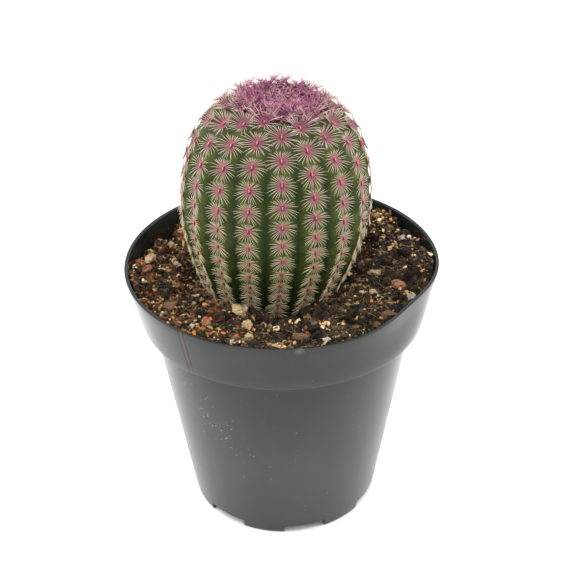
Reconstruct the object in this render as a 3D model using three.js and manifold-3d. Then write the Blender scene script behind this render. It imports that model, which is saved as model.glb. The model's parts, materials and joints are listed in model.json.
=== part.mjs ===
// Rainbow hedgehog cactus in a round plastic nursery pot.
// Millimetres, +Z up. The origin is the centre of the pot's footprint, on the surface that it stands on.
// Angles go round the vertical axis from the front (-Y) towards the right (+X).

import * as THREE from "three";
import { mergeVertices } from "three/addons/utils/BufferGeometryUtils.js";
import Module from "manifold-3d";

const wasm = await Module();
wasm.setup();

const GAP = 0.35; // clearance between pieces that touch in the real plant

// Pot: a thin tapered wall with a wider collar at the top and feet round the floor.
const POT_HEIGHT = 92.5;
const POT_WALL = 1.2;
const RIM_RADIUS = 52.5;
const COLLAR_BOTTOM_Z = 74;
const COLLAR_BOTTOM_RADIUS = 48;
const WALL_TOP_RADIUS = 44.5;
const BASE_RADIUS = 32.4;
const POT_SEGMENTS = 56;
const FOOT_COUNT = 7;
const FOOT_HEIGHT = 3;
const FOOT_WIDTH = 2.6;
const FOOT_ARC = 26;
const FIRST_FOOT_ANGLE = -13.5;
const FLOOR_THICKNESS = 1.4;
const EDGE_BREAK = 0.4; // the small bevel on the pot's outer edges
const DRAIN_RADIUS = 3.5;
const DRAIN_RING_RADIUS = 23;
const CENTRE_DRAIN_RADIUS = 5;

const FLOOR_TOP = FOOT_HEIGHT + FLOOR_THICKNESS;

// Soil
const SOIL_LEVEL = 86.4;
const SOIL_ROLL = 0.45; // height of the low waves in its top
const HEAP_START = 32; // radius from which the soil is heaped towards the wall
const HEAP_RISES = [2, 2.5, 3.5, 4.5, 2, 4, 1.5, 0.5, -0.5, 3.5, 3, 2.5]; // at the wall, every 30 degrees
const SOIL_BOTTOM = FLOOR_TOP + GAP;

// Stem: ribbed and barrel-shaped, leaning a little to the right.
const STEM_X = -3.7;
const STEM_Y = 5.6;
const STEM_LEAN = 3.9;
const RIB_COUNT = 18;
const RIB_DEPTH = 1.5;
const RIB_DEPTH_SHARE = 0.12; // of the radius, where the ribs run together at the crown
const RIB_TWIST = 4.6;
const RIB_FIRST_ANGLE = 5;
const TWIST_START = 19; // height over the soil line where the ribs begin to turn
const TWIST_END = 60;
const WIDEST_RADIUS = 30.9;
const WIDEST_HEIGHT = 23.5; // over the soil line
const CROWN_HEIGHT = 38.8; // from the widest ring to the top of the stem
const CROWN_POWER = 2.69;
const FOOT_REACH = 62; // from the widest ring down to where the lower curve would close
const FOOT_POWER = 1.39;
const STEM_BURIED = 9;
const STEM_SOLE = 1.5; // height of the rounded-in foot under the buried part
const STEM_SOLE_SHARE = 0.7; // its radius as a share of the radius above it

// Spines: each rib carries one row of clusters, and the crown carries the young upright ones.
const SPINE_STANDOFF = 0.55;
const SPINE_THICKNESS = 1.3;
const CLUSTER_HALF_WIDTH = 4.6;
const CLUSTER_WAIST = 0.62; // width between two clusters as a share of the full width
const CLUSTER_SPACING_SHARE = 0.42; // half width as a share of the rib spacing, where ribs are narrow
const CLUSTER_DROOP = 0.8; // how far a cluster's sides reach into the grooves, as a share of their depth
const CLUSTER_MOST = 14;
const CLUSTER_FIRST_ARC = 12.2; // arc from the crown to the first cluster
const CLUSTER_STEP = 8.1;
const CLUSTER_STEP_LOSS = 0.165;
const CLUSTER_PHASE = 7 / RIB_COUNT; // of a step, by which each rib's clusters rise over the last rib's
const ROW_LOWEST_HEIGHT = 1.5; // over the soil line
const ROW_CROWN_GAP = 1.6;
const TUFT_RADIUS = 12;
const TUFT_RISE = 3.6;
const TUFT_OUTLINE = [
  // share of its radius, share of its rise
  [1.04, 0.15],
  [0.85, 0.7],
  [0.5, 0.94],
];

// Roots
const TAPROOT_RADIUS = 5.5;
const TAPROOT_LENGTH = 34;
const TAPROOT_TIP_RADIUS = 1.2;
const LATERAL_COUNT = 6;
const LATERAL_RADIUS = 1.1;
const LATERAL_REACH = 23;
const LATERAL_DROP = 26;

const plastic = (color) => new THREE.MeshStandardMaterial({ color, roughness: 0.42, metalness: 0 });
const matte = (color) => new THREE.MeshStandardMaterial({ color, roughness: 0.9, metalness: 0 });
const MATERIALS = {
  pot: plastic(0x2b2c2c),
  soil: matte(0x33261c),
  stem: new THREE.MeshStandardMaterial({ color: 0x4a6632, roughness: 0.55, metalness: 0 }),
  spines: matte(0xd9a0b4),
  young_spines: matte(0xa2275f),
  roots: matte(0xa58a62),
  pumice: matte(0xc9a878),
  perlite: matte(0xe9e4dc),
  lava: matte(0x8a4a34),
  bark: matte(0x5a3b25),
};

const part = new THREE.Group();
const plant = new THREE.Group();
plant.position.set(STEM_X, STEM_Y, SOIL_LEVEL);
plant.rotation.y = THREE.MathUtils.degToRad(STEM_LEAN);
part.add(plant);

function addMesh(name, geometry, slot, group = part) {
  geometry.computeVertexNormals();
  const mesh = new THREE.Mesh(geometry, MATERIALS[slot].clone());
  mesh.name = name;
  group.add(mesh);
  return mesh;
}

// Booleans

function solidOf(geometry, matrix = new THREE.Matrix4()) {
  const bare = new THREE.BufferGeometry();
  bare.setAttribute("position", geometry.getAttribute("position").clone());
  bare.setIndex(geometry.index);
  bare.applyMatrix4(matrix);
  const merged = mergeVertices(bare, 1e-4);
  return new wasm.Manifold(
    new wasm.Mesh({
      numProp: 3,
      vertProperties: merged.attributes.position.array,
      triVerts: new Uint32Array(merged.index.array),
    }),
  );
}

function geometryOf(solid) {
  const mesh = solid.getMesh();
  const geometry = new THREE.BufferGeometry();
  geometry.setAttribute("position", new THREE.BufferAttribute(mesh.vertProperties, 3));
  geometry.setIndex(new THREE.BufferAttribute(mesh.triVerts, 1));
  return geometry;
}

function lathe(points, segments = POT_SEGMENTS) {
  const profile = points.map(([r, z]) => new THREE.Vector2(r, z));
  return new THREE.LatheGeometry(profile, segments).rotateX(Math.PI / 2);
}

function compass(angle, radius, z = 0) {
  const a = THREE.MathUtils.degToRad(angle);
  return new THREE.Vector3(radius * Math.sin(a), -radius * Math.cos(a), z);
}

// A repeatable number from -1 to 1 for each index.
function scatter(index, seed) {
  const wave = Math.sin(index * 127.1 + seed * 311.7) * 43758.5453;
  return 2 * (wave - Math.floor(wave)) - 1;
}

// Pot

const wallOuter = (z) => BASE_RADIUS + ((WALL_TOP_RADIUS - BASE_RADIUS) * z) / COLLAR_BOTTOM_Z;
const collarSlope = (RIM_RADIUS - COLLAR_BOTTOM_RADIUS) / (POT_HEIGHT - COLLAR_BOTTOM_Z);
const collarOuter = (z) => COLLAR_BOTTOM_RADIUS + collarSlope * (z - COLLAR_BOTTOM_Z);
const SOIL_EDGE = collarOuter(SOIL_LEVEL) - POT_WALL - GAP;

function drain(angle, ringRadius, radius) {
  const height = 3 * FLOOR_THICKNESS;
  const centre = compass(angle, ringRadius, (FOOT_HEIGHT + FLOOR_TOP) / 2);
  const place = new THREE.Matrix4().makeTranslation(centre);
  return solidOf(new THREE.CylinderGeometry(radius, radius, height, 16).rotateX(Math.PI / 2), place);
}

// The space between two feet, as a wedge that reaches up to the wall's lower edge.
function footGap(index) {
  const pitch = 360 / FOOT_COUNT;
  const from = FIRST_FOOT_ANGLE + index * pitch + FOOT_ARC / 2;
  const to = from + pitch - FOOT_ARC;
  const reach = 2 * BASE_RADIUS;
  const below = 1; // so that the cut passes clean through
  const corners = [compass(0, 0), compass(from, reach), compass((from + to) / 2, reach), compass(to, reach)];
  const shape = new THREE.Shape(corners.map((p) => new THREE.Vector2(p.x, p.y)));
  const wedge = new THREE.ExtrudeGeometry(shape, { depth: FOOT_HEIGHT + below, bevelEnabled: false });
  return solidOf(wedge.translate(0, 0, -below));
}

function potGeometry() {
  const ledgeTop = COLLAR_BOTTOM_Z + POT_WALL;
  const shell = lathe([
    [0, FOOT_HEIGHT],
    [BASE_RADIUS - FOOT_WIDTH, FOOT_HEIGHT],
    [BASE_RADIUS - FOOT_WIDTH, 0],
    [BASE_RADIUS - EDGE_BREAK, 0],
    [BASE_RADIUS, EDGE_BREAK],
    [WALL_TOP_RADIUS, COLLAR_BOTTOM_Z],
    [COLLAR_BOTTOM_RADIUS - EDGE_BREAK, COLLAR_BOTTOM_Z],
    [COLLAR_BOTTOM_RADIUS, COLLAR_BOTTOM_Z + EDGE_BREAK],
    [collarOuter(POT_HEIGHT - EDGE_BREAK), POT_HEIGHT - EDGE_BREAK],
    [RIM_RADIUS - EDGE_BREAK, POT_HEIGHT],
    [RIM_RADIUS - POT_WALL, POT_HEIGHT],
    [COLLAR_BOTTOM_RADIUS - POT_WALL, ledgeTop],
    [wallOuter(ledgeTop) - POT_WALL, ledgeTop],
    [wallOuter(FLOOR_TOP) - POT_WALL, FLOOR_TOP],
    [0, FLOOR_TOP],
  ]);
  let solid = solidOf(shell).subtract(drain(0, 0, CENTRE_DRAIN_RADIUS));
  for (let i = 0; i < FOOT_COUNT; i++) {
    const gapMiddle = FIRST_FOOT_ANGLE + (360 / FOOT_COUNT) * (i + 0.5);
    solid = solid.subtract(footGap(i)).subtract(drain(gapMiddle, DRAIN_RING_RADIUS, DRAIN_RADIUS));
  }
  return geometryOf(solid);
}

// Stem

const stemTop = WIDEST_HEIGHT + CROWN_HEIGHT;

// The radius over the rib crests at a height over the soil line.
function crestRadius(height) {
  if (height >= WIDEST_HEIGHT) {
    const share = Math.min((height - WIDEST_HEIGHT) / CROWN_HEIGHT, 1);
    return WIDEST_RADIUS * (1 - share ** CROWN_POWER) ** (1 / CROWN_POWER);
  }
  const share = (WIDEST_HEIGHT - height) / FOOT_REACH;
  return WIDEST_RADIUS * (1 - share ** FOOT_POWER) ** (1 / FOOT_POWER);
}

const grooveDepth = (radius) => Math.min(RIB_DEPTH, radius * RIB_DEPTH_SHARE);

// How far round the ribs have turned at a height over the soil line.
function ribTwist(height) {
  const share = THREE.MathUtils.clamp((height - TWIST_START) / (TWIST_END - TWIST_START), 0, 1);
  return RIB_FIRST_ANGLE - RIB_TWIST * share;
}

// Heights and radii down the stem's outline, evenly spaced along the curve, with the arc from the crown.
function meridian() {
  const rows = [];
  let arc = 0;
  const count = 4000;
  for (let i = 0; i <= count; i++) {
    const height = stemTop - ((stemTop + STEM_BURIED) * i) / count;
    const radius = crestRadius(height);
    if (i) {
      arc += Math.hypot(height - rows[i - 1].height, radius - rows[i - 1].radius);
    }
    rows.push({ height, radius, arc });
  }
  return rows;
}

const outline = meridian();

function atArc(arc) {
  const next = outline.findIndex((row) => row.arc >= arc);
  return next < 0 ? outline[outline.length - 1] : outline[Math.max(next, 1)];
}

function stemGeometry() {
  const rings = 19;
  const longest = outline[outline.length - 1].arc;
  const sole = -STEM_BURIED - STEM_SOLE;
  const profile = [[0, sole], [crestRadius(-STEM_BURIED) * STEM_SOLE_SHARE, sole]];
  for (let i = rings; i >= 1; i--) {
    const row = atArc((longest * i) / rings);
    profile.push([row.radius, row.height]);
  }
  profile.push([0, stemTop]);
  const geometry = lathe(profile, RIB_COUNT * 4);
  const position = geometry.getAttribute("position");
  for (let i = 0; i < position.count; i++) {
    const p = new THREE.Vector3().fromBufferAttribute(position, i);
    const radius = Math.hypot(p.x, p.y);
    if (radius < 1e-6) continue;
    const angle = THREE.MathUtils.radToDeg(Math.atan2(p.x, -p.y));
    const turned = compass(angle + ribTwist(p.z), 1);
    const groove = (1 - Math.cos(THREE.MathUtils.degToRad(angle * RIB_COUNT))) / 2;
    const grooved = radius - grooveDepth(radius) * groove;
    position.setXYZ(i, turned.x * grooved, turned.y * grooved, p.z);
  }
  return geometry;
}

// The soil's pocket for the stem follows the rib crests.
function stemPocket() {
  const sole = -STEM_BURIED - STEM_SOLE - GAP;
  const mouth = 10;
  const facetRoom = 0.15;
  const points = [[0, sole], [crestRadius(-STEM_BURIED) * STEM_SOLE_SHARE + 1, sole]];
  for (const height of [-STEM_BURIED, -STEM_BURIED / 2, 0, 4, mouth]) {
    points.push([crestRadius(height) + GAP + facetRoom, height]);
  }
  points.push([0, mouth]);
  return solidOf(lathe(points, RIB_COUNT * 2), plant.matrixWorld);
}

// Spines: a row is a scalloped ribbon, wide at each cluster and narrow between them.

function clusterArc(index, rib) {
  const phase = (rib * CLUSTER_PHASE) % 1;
  const place = index - phase;
  return CLUSTER_FIRST_ARC + CLUSTER_STEP * place - CLUSTER_STEP_LOSS * place * place;
}

function rowGeometry(rib) {
  const stations = [];
  for (let index = 0.5; index < CLUSTER_MOST; index += 0.5) {
    const row = atArc(clusterArc(index, rib));
    if (row.radius < TUFT_RADIUS + ROW_CROWN_GAP) continue;
    const angle = rib * (360 / RIB_COUNT) + ribTwist(row.height);
    const overSoil = compass(angle, row.radius, row.height).applyEuler(plant.rotation).z;
    if (overSoil < ROW_LOWEST_HEIGHT) break;
    const isCluster = Number.isInteger(index);
    stations.push({ ...row, width: isCluster ? 1 : CLUSTER_WAIST });
  }
  const sides = 4;
  const ribbon = new THREE.CylinderGeometry(1, 1, 1, sides, stations.length - 1).toNonIndexed();
  const position = ribbon.getAttribute("position");
  for (let i = 0; i < position.count; i++) {
    const p = new THREE.Vector3().fromBufferAttribute(position, i);
    const row = stations[Math.round((0.5 - p.y) * (stations.length - 1))];
    const spacing = (2 * Math.PI * row.radius) / RIB_COUNT;
    const half = Math.min(CLUSTER_HALF_WIDTH, spacing * CLUSTER_SPACING_SHARE) * row.width;
    const angle = rib * (360 / RIB_COUNT) + ribTwist(row.height);
    const before = atArc(row.arc - 1);
    const after = atArc(row.arc + 1);
    const along = new THREE.Vector2(after.radius - before.radius, after.height - before.height).normalize();
    const across = Math.round(p.x);
    const outward = Math.round(p.z);
    const lift = SPINE_STANDOFF + (outward > 0 ? SPINE_THICKNESS : 0);
    const droop = Math.abs(across) * grooveDepth(row.radius) * CLUSTER_DROOP;
    const radius = row.radius - along.y * lift - droop;
    const place = compass(angle, radius, row.height + along.x * lift);
    place.add(compass(angle + 90, half * across));
    position.setXYZ(i, place.x, place.y, place.z);
  }
  return ribbon;
}

// The crown's young spines stand as a low dome over the growing point.
function tuftGeometry() {
  const foot = outline.find((row) => row.radius >= TUFT_RADIUS);
  const base = foot.height + SPINE_STANDOFF;
  const top = stemTop + TUFT_RISE;
  const points = [[0, stemTop + SPINE_STANDOFF]];
  for (const share of [0.35, 0.7, 1]) {
    const row = outline.find((r) => r.radius >= TUFT_RADIUS * share);
    points.push([TUFT_RADIUS * share, row.height + SPINE_STANDOFF]);
  }
  TUFT_OUTLINE.forEach(([reach, rise]) => points.push([TUFT_RADIUS * reach, base + (top - base) * rise]));
  points.push([0, top]);
  return lathe(points, RIB_COUNT);
}

// Roots: a short taproot under the stem, with side roots that curve outwards and down.

function rootsSolid(grow) {
  const top = -STEM_BURIED - STEM_SOLE - GAP;
  const rise = grow ? 3 : 0;
  const taproot = lathe(
    [
      [0, top - TAPROOT_LENGTH - grow],
      [TAPROOT_TIP_RADIUS + grow, top - TAPROOT_LENGTH - grow],
      [TAPROOT_RADIUS * 0.6 + grow, top - TAPROOT_LENGTH * 0.55],
      [TAPROOT_RADIUS + grow, top - 4],
      [TAPROOT_RADIUS + grow, top + rise],
      [0, top + rise],
    ],
    14,
  );
  let solid = solidOf(taproot, plant.matrixWorld);
  const section = new THREE.Shape().absarc(0, 0, LATERAL_RADIUS + grow, 0, 2 * Math.PI);
  for (let i = 0; i < LATERAL_COUNT; i++) {
    const angle = (360 / LATERAL_COUNT) * i + 12 * scatter(i, 3);
    const start = top - 5 - 9 * Math.abs(scatter(i, 5));
    const reach = LATERAL_REACH * (1 + 0.12 * scatter(i, 7));
    const drop = LATERAL_DROP * (1 + 0.3 * scatter(i, 9));
    const path = new THREE.CatmullRomCurve3([
      compass(angle, 1, start),
      compass(angle + 4, reach * 0.4, start - drop * 0.12),
      compass(angle - 5, reach * 0.8, start - drop * 0.5),
      compass(angle + 3, reach + grow, start - drop - grow),
    ]);
    const tube = new THREE.ExtrudeGeometry(section, { steps: 6, extrudePath: path, curveSegments: 3 });
    solid = solid.add(solidOf(tube, plant.matrixWorld));
  }
  return solid;
}

// Soil surface

const smooth = (share) => share * share * (3 - 2 * share);

// The soil's rise against the wall in a direction, eased between the listed ones.
function heapRise(angle) {
  const place = THREE.MathUtils.euclideanModulo(angle / 30, HEAP_RISES.length);
  const low = Math.floor(place);
  const high = (low + 1) % HEAP_RISES.length;
  return THREE.MathUtils.lerp(HEAP_RISES[low], HEAP_RISES[high], smooth(place - low));
}

function soilTop(x, y) {
  const radius = Math.hypot(x, y);
  const angle = THREE.MathUtils.radToDeg(Math.atan2(x, -y));
  const share = THREE.MathUtils.clamp((radius - HEAP_START) / (SOIL_EDGE - HEAP_START), 0, 1);
  const roll = SOIL_ROLL * Math.sin(x / 7 + 1.3) * Math.cos(y / 9);
  return SOIL_LEVEL + roll + heapRise(angle) * smooth(share);
}

// Stones and chips on the soil. Each has a place by angle and radius, a length, width and height, and a turn.
const CHIPS = [
  { name: "pumice_tan_01", slot: "pumice", angle: -32, radius: 26, size: [5.4, 4.2, 3.6], turn: 20 },
  { name: "pumice_tan_02", slot: "pumice", angle: -15, radius: 40, size: [3.4, 2.9, 2.4], turn: 60 },
  { name: "pumice_tan_03", slot: "pumice", angle: -20, radius: 33, size: [4.6, 3.8, 3], turn: 110 },
  { name: "pumice_tan_04", slot: "pumice", angle: -130, radius: 46, size: [3.6, 3, 2.8], turn: 15 },
  { name: "pumice_tan_05", slot: "pumice", angle: -98, radius: 45, size: [4.4, 3.6, 3], turn: 75 },
  { name: "pumice_tan_06", slot: "pumice", angle: -100, radius: 36, size: [3.2, 2.4, 2.2], turn: 40 },
  { name: "pumice_tan_07", slot: "pumice", angle: 125, radius: 46, size: [3, 2.6, 2.4], turn: 130 },
  { name: "pumice_tan_08", slot: "pumice", angle: 90, radius: 31, size: [5, 2.6, 2.6], turn: 10 },
  { name: "pumice_tan_09", slot: "pumice", angle: 68, radius: 32, size: [3.6, 2.6, 2.4], turn: 95 },
  { name: "pumice_tan_10", slot: "pumice", angle: -118, radius: 44, size: [3.6, 3, 2.6], turn: 150 },
  { name: "pumice_tan_11", slot: "pumice", angle: 150, radius: 44, size: [4.2, 3.2, 2.8], turn: 45 },
  { name: "pumice_tan_12", slot: "pumice", angle: -165, radius: 42, size: [3.6, 3.2, 2.8], turn: 80 },
  { name: "perlite_01", slot: "perlite", angle: -20, radius: 45, size: [3.4, 2, 2], turn: 70 },
  { name: "perlite_02", slot: "perlite", angle: -2, radius: 43, size: [2.6, 2.2, 2], turn: 25 },
  { name: "perlite_03", slot: "perlite", angle: 18, radius: 44, size: [2.8, 2.2, 2], turn: 15 },
  { name: "perlite_04", slot: "perlite", angle: 65, radius: 46, size: [3.6, 2.6, 2.6], turn: 120 },
  { name: "perlite_05", slot: "perlite", angle: 114, radius: 46, size: [4, 3, 2.6], turn: 35 },
  { name: "perlite_06", slot: "perlite", angle: -40, radius: 44, size: [2.4, 2, 1.8], turn: 90 },
  { name: "lava_01", slot: "lava", angle: -88, radius: 45, size: [3.6, 3, 2.8], turn: 5 },
  { name: "lava_02", slot: "lava", angle: -78, radius: 36, size: [3, 2.6, 2.2], turn: 55 },
  { name: "lava_03", slot: "lava", angle: 74, radius: 40, size: [5.4, 4, 3.4], turn: 140 },
  { name: "lava_04", slot: "lava", angle: -38, radius: 39, size: [3.8, 3, 2.4], turn: 100 },
  { name: "bark_01", slot: "bark", angle: 8, radius: 38, size: [5, 3, 1.8], turn: 15 },
  { name: "bark_02", slot: "bark", angle: 135, radius: 45, size: [7, 5, 4.6], turn: 50 },
  { name: "bark_03", slot: "bark", angle: 50, radius: 44, size: [6, 3.2, 2], turn: 160 },
  { name: "bark_04", slot: "bark", angle: -60, radius: 42, size: [6.2, 3.4, 1.8], turn: 130 },
  { name: "bark_05", slot: "bark", angle: -150, radius: 44, size: [6.5, 3.6, 2.2], turn: 20 },
];
const CHIP_SUNK = 0.42; // share of a chip's height that lies under the soil line
const CHIP_ROUGHNESS = 0.1; // how uneven a chip is, as a share of its size

function chipGeometry(index) {
  const geometry = new THREE.IcosahedronGeometry(0.5, 1);
  geometry.deleteAttribute("normal");
  geometry.deleteAttribute("uv");
  const merged = mergeVertices(geometry, 1e-4);
  const position = merged.getAttribute("position");
  for (let i = 0; i < position.count; i++) {
    const swell = 1 + CHIP_ROUGHNESS * scatter(i, index + 11);
    position.setXYZ(i, position.getX(i) * swell, position.getY(i) * swell, position.getZ(i) * swell);
  }
  merged.computeBoundingBox();
  const extent = merged.boundingBox.getSize(new THREE.Vector3());
  return merged.center().scale(1 / extent.x, 1 / extent.y, 1 / extent.z);
}

function addChip(chip, index) {
  const [length, width, height] = chip.size;
  const mesh = addMesh(chip.name, chipGeometry(index).scale(length, width, height), chip.slot);
  const place = compass(chip.angle, chip.radius);
  mesh.position.copy(place).setZ(soilTop(place.x, place.y) + height * (0.5 - CHIP_SUNK));
  mesh.rotation.z = THREE.MathUtils.degToRad(chip.turn);
  mesh.updateMatrixWorld(true);
  return mesh;
}

function chipPocket(mesh) {
  const extent = new THREE.Box3().setFromBufferAttribute(mesh.geometry.getAttribute("position"));
  const size = extent.getSize(new THREE.Vector3());
  const grown = mesh.geometry.clone();
  grown.scale(1 + (2 * GAP) / size.x, 1 + (2 * GAP) / size.y, 1 + (2 * GAP) / size.z);
  return solidOf(grown, mesh.matrixWorld);
}

// Soil: fills the pot to just under the rim, with a rolling top that is heaped against parts of the wall.
function soilGeometry(chips) {
  const ledge = COLLAR_BOTTOM_Z + POT_WALL;
  const inside = (radius) => radius - POT_WALL - GAP;
  const surface = [1, 0.96, 0.9, 0.84, 0.78, 0.72, 0.66].map((share) => [SOIL_EDGE * share, SOIL_LEVEL]);
  const filling = lathe([
    [0, SOIL_BOTTOM],
    [inside(wallOuter(SOIL_BOTTOM)), SOIL_BOTTOM],
    [inside(wallOuter(ledge + GAP)), ledge + GAP],
    [inside(collarOuter(ledge + GAP)), ledge + GAP],
    ...surface,
    [0, SOIL_LEVEL],
  ]);
  const position = filling.getAttribute("position");
  for (let i = 0; i < position.count; i++) {
    const [x, y, z] = [position.getX(i), position.getY(i), position.getZ(i)];
    if (z < SOIL_LEVEL - 0.01) continue;
    const top = soilTop(x, y);
    const onEdge = Math.hypot(x, y) > SOIL_EDGE - 0.01;
    const spread = onEdge ? inside(collarOuter(top)) / SOIL_EDGE : 1;
    position.setXYZ(i, x * spread, y * spread, top);
  }
  let solid = solidOf(filling).subtract(stemPocket()).subtract(rootsSolid(GAP));
  chips.forEach((chip) => {
    solid = solid.subtract(chipPocket(chip));
  });
  return geometryOf(solid);
}

// Assembly

part.updateMatrixWorld(true);
addMesh("pot", potGeometry(), "pot");
addMesh("cactus_stem", stemGeometry(), "stem", plant);
for (let rib = 0; rib < RIB_COUNT; rib++) {
  const number = String(rib + 1).padStart(2, "0");
  addMesh(`spine_row_${number}`, rowGeometry(rib), "spines", plant);
}
addMesh("crown_tuft", tuftGeometry(), "young_spines", plant);
addMesh("roots", geometryOf(rootsSolid(0)), "roots");
const chips = CHIPS.map(addChip);
addMesh("soil", soilGeometry(chips), "soil");

export default part;
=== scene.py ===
# The looks of a rainbow hedgehog cactus in a black nursery pot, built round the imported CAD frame.
import json
import math

import bmesh
import bpy
import numpy as np
from mathutils import Matrix, Vector, noise
from mathutils.geometry import tessellate_polygon


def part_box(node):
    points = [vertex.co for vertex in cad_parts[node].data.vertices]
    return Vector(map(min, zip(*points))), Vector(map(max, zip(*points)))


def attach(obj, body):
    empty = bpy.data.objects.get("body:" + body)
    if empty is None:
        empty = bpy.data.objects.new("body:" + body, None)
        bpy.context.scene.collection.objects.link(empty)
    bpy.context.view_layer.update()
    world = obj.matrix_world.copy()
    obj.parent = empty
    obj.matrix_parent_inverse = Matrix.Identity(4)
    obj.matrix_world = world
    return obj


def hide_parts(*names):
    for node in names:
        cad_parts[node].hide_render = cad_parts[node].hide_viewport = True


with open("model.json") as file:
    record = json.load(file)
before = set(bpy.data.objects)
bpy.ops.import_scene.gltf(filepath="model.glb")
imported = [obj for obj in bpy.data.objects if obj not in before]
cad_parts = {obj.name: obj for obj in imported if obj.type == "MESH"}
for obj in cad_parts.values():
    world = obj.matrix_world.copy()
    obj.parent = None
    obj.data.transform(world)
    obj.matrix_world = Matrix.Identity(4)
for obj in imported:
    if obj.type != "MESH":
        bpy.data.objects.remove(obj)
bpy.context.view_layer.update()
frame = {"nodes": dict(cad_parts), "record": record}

MM = 0.001
BODY = "root"
BAKE_UV = "OFBake"
random = np.random.default_rng(7)

# Pot, from the frame's box and the same driving dimensions as the CAD
POT_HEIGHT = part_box("pot")[1][2]
RIM_RADIUS = 52.5 * MM
COLLAR_BOTTOM_Z = 74 * MM
COLLAR_BOTTOM_RADIUS = 48 * MM
WALL_TOP_RADIUS = 44.5 * MM
BASE_RADIUS = 32.4 * MM
POT_WALL = 1.2 * MM
FOOT_COUNT = 7
FOOT_PITCH = math.tau / FOOT_COUNT
FOOT_HEIGHT = 3 * MM
FOOT_WIDTH = 2.6 * MM
FOOT_ARC = math.radians(26)
FIRST_FOOT_ANGLE = math.radians(-13.5)
POT_AROUND = 48 * FOOT_COUNT
POT_ANGLES = np.arange(POT_AROUND) * math.tau / POT_AROUND + FIRST_FOOT_ANGLE - FOOT_PITCH / 2
SKIRT_INNER = BASE_RADIUS - FOOT_WIDTH
FLOOR_BOTTOM = FOOT_HEIGHT
FLOOR_TOP = FLOOR_BOTTOM + 1.4 * MM
SEAM_ANGLE = math.radians(-37)  # between the collar's two mould lines
SEAM_HALF_GAP = 0.018
DRAIN_RADIUS = 3.5 * MM
DRAIN_RING_RADIUS = 23 * MM
CENTRE_DRAIN_RADIUS = 5 * MM
DENT_ANGLE = math.radians(55)  # from the front towards the right, where the rim is pressed in
DENT_WIDTH = math.radians(19)
DENT_DEPTH = 2.8 * MM

# Soil
SOIL_LEVEL = 86.4 * MM
SOIL_ROLL = 0.45 * MM
SOIL_GAP = 0.35 * MM
HEAP_START = 32 * MM
# at the wall, every 30 degrees from the front towards the right
HEAP_RISES = np.array([2, 2.5, 3.5, 4.5, 2, 4, 1.5, 0.5, -0.5, 3.5, 3, 2.5]) * MM
CHIP_SUNK = 0.42
SOIL_CELL = 0.3 * MM
SOIL_HALF = 54 * MM
MOAT_DEPTH = 3.5 * MM  # the hollow at the stem's foot
MOAT_EDGE = 36 * MM  # from the stem's axis
MOAT_WIDTH = 11 * MM
MOAT_DIRECTION = math.radians(-18)
# each clod's x, y, width and height; a negative height is a pit
BIG_CLODS = np.array([[34.5, 29, 6, 3.6], [41, 19, 8, 3], [29, 15, 3.5, -2.4], [36, -14, 5, 1.8]]) * MM

# Plant
STEM_PLACE = Vector((-3.7 * MM, 5.6 * MM, SOIL_LEVEL))
STEM_LEAN = math.radians(3.9)
PLANT = Matrix.Translation(STEM_PLACE) @ Matrix.Rotation(STEM_LEAN, 4, "Y")
RIB_COUNT = 18
RIB_PITCH = math.tau / RIB_COUNT
RIB_DEPTH = 2.2 * MM
RIB_DEPTH_SHARE = 0.14
RIB_FIRST_ANGLE = math.radians(5)
RIB_TWIST = math.radians(4.6)
TWIST_START = 19 * MM
TWIST_END = 60 * MM
WIDEST_RADIUS = 30.9 * MM
WIDEST_HEIGHT = 23.5 * MM
CROWN_HEIGHT = 38.8 * MM
CROWN_POWER = 2.69
FOOT_REACH = 62 * MM
FOOT_POWER = 1.39
STEM_BURIED = 9 * MM
STEM_SOLE = 1.5 * MM
NOTCH_DEPTH = 0.28 * MM
APEX_DIP = 1.8 * MM  # how far the growing point is sunk
APEX_REACH = 17 * MM

# Spine clusters: arcs are measured from the crown down the stem
CLUSTER_FIRST_ARC = 12.2 * MM
CLUSTER_STEP = 8.1 * MM
CLUSTER_STEP_LOSS = 0.165 * MM
CLUSTER_PHASE = 7 / RIB_COUNT
CLUSTER_MOST = 14
ROW_START_ARC = 8.5 * MM
ROW_LOWEST = 0.3 * MM  # over the soil
TUFT_RINGS = 7
TUFT_RING_STEP = 2.05


# Meshes


def link(piece, slot, *replaced):
    """Puts a finished piece in the scene, on the body, and hides the CAD nodes that it stands for. slot is
    not used.
    """
    bpy.context.scene.collection.objects.link(piece)
    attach(piece, BODY)
    if replaced:
        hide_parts(*replaced)
    return piece


def make_piece(name, verts, polygons, material, uv=None, smooth=True):
    """An object from an array of points and a list of index arrays, one array for each size of polygon."""
    mesh = bpy.data.meshes.new(name)
    verts = np.asarray(verts, dtype=np.float32).reshape(-1, 3)
    loops = np.concatenate([p.ravel() for p in polygons]).astype(np.int32)
    sizes = np.concatenate([np.full(len(p), p.shape[1]) for p in polygons])
    starts = np.concatenate([[0], np.cumsum(sizes)[:-1]]).astype(np.int32)
    mesh.vertices.add(len(verts))
    mesh.vertices.foreach_set("co", verts.ravel())
    mesh.loops.add(len(loops))
    mesh.loops.foreach_set("vertex_index", loops)
    mesh.polygons.add(len(sizes))
    mesh.polygons.foreach_set("loop_start", starts)
    mesh.update(calc_edges=True)
    if uv is not None:
        layer = mesh.uv_layers.new(name=BAKE_UV)
        layer.data.foreach_set("uv", np.asarray(uv, dtype=np.float32)[loops].ravel())
    mesh.polygons.foreach_set("use_smooth", np.full(len(sizes), smooth))
    mesh.materials.append(material)
    mesh.validate()
    return bpy.data.objects.new(name, mesh)


def set_attribute(piece, name, values):
    layer = piece.data.attributes.new(name, "FLOAT", "POINT")
    layer.data.foreach_set("value", np.asarray(values, dtype=np.float32))


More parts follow.
